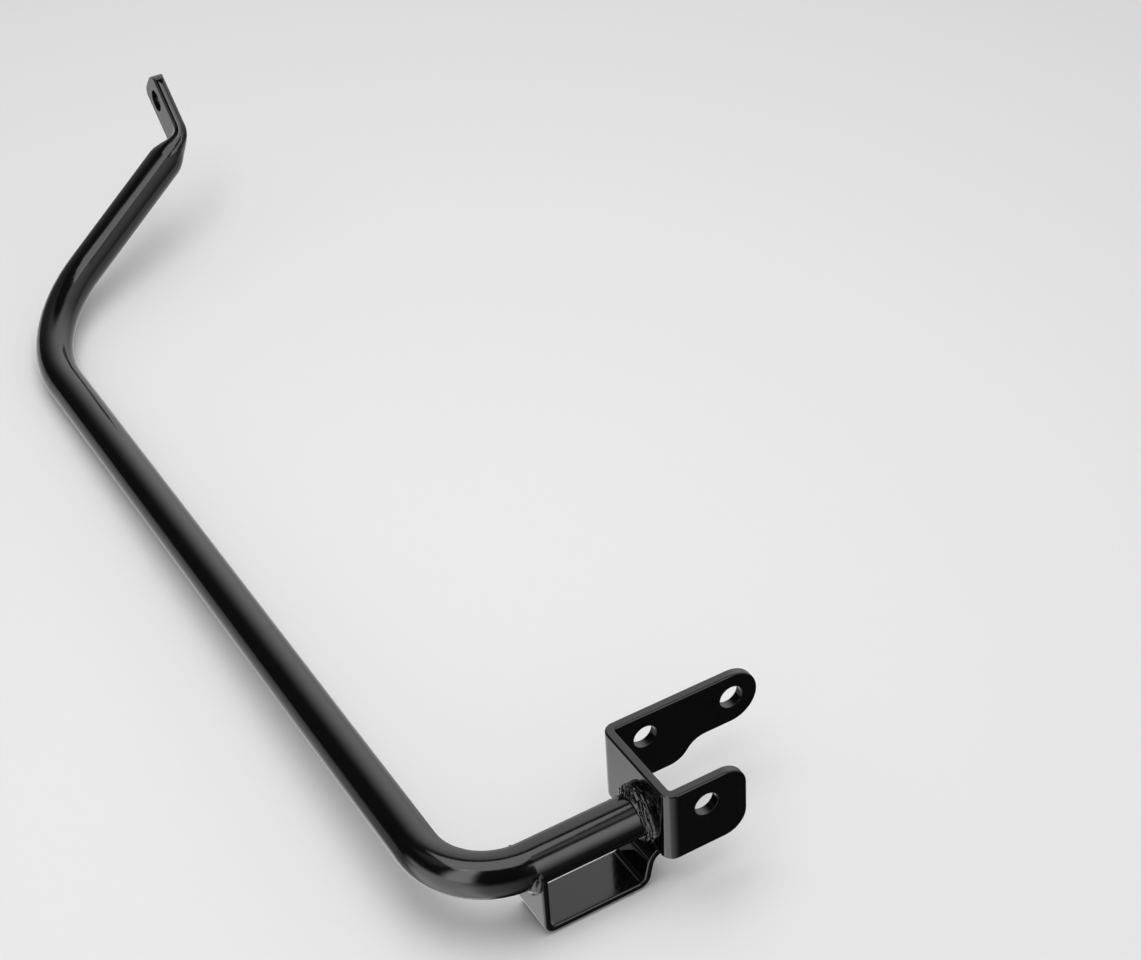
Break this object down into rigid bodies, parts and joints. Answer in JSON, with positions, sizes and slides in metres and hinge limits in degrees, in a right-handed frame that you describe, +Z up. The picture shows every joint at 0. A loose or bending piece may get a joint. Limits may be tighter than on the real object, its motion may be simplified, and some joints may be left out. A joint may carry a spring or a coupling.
{
  "type": "motorbike pannier frame",
  "caption": "Left-hand support frame for a motorbike pannier: a bent tube with a flattened tab, a folded clevis bracket and a folded hanger strap, welded together",
  "frame": {"origin": "middle of the clevis bolt: on the bolt's axis, halfway between the ears", "axes": "+X inboard, along the tube's short run; +Y forward, along the main bar; +Z up, as the frame is fixed to the bike"},
  "size_m": [0.1686, 0.5806, 0.1149],
  "materials": {
    "frame_paint": "gloss black paint over steel",
    "weld_paint": "gloss black paint over weld beads"
  },
  "bodies": {
    "root": {"bent_tube": "frame_paint", "clevis_bracket": "frame_paint", "hanger_strap": "frame_paint", "end_weld": "weld_paint", "strap_weld": "weld_paint"}
  },
  "joints": []
}
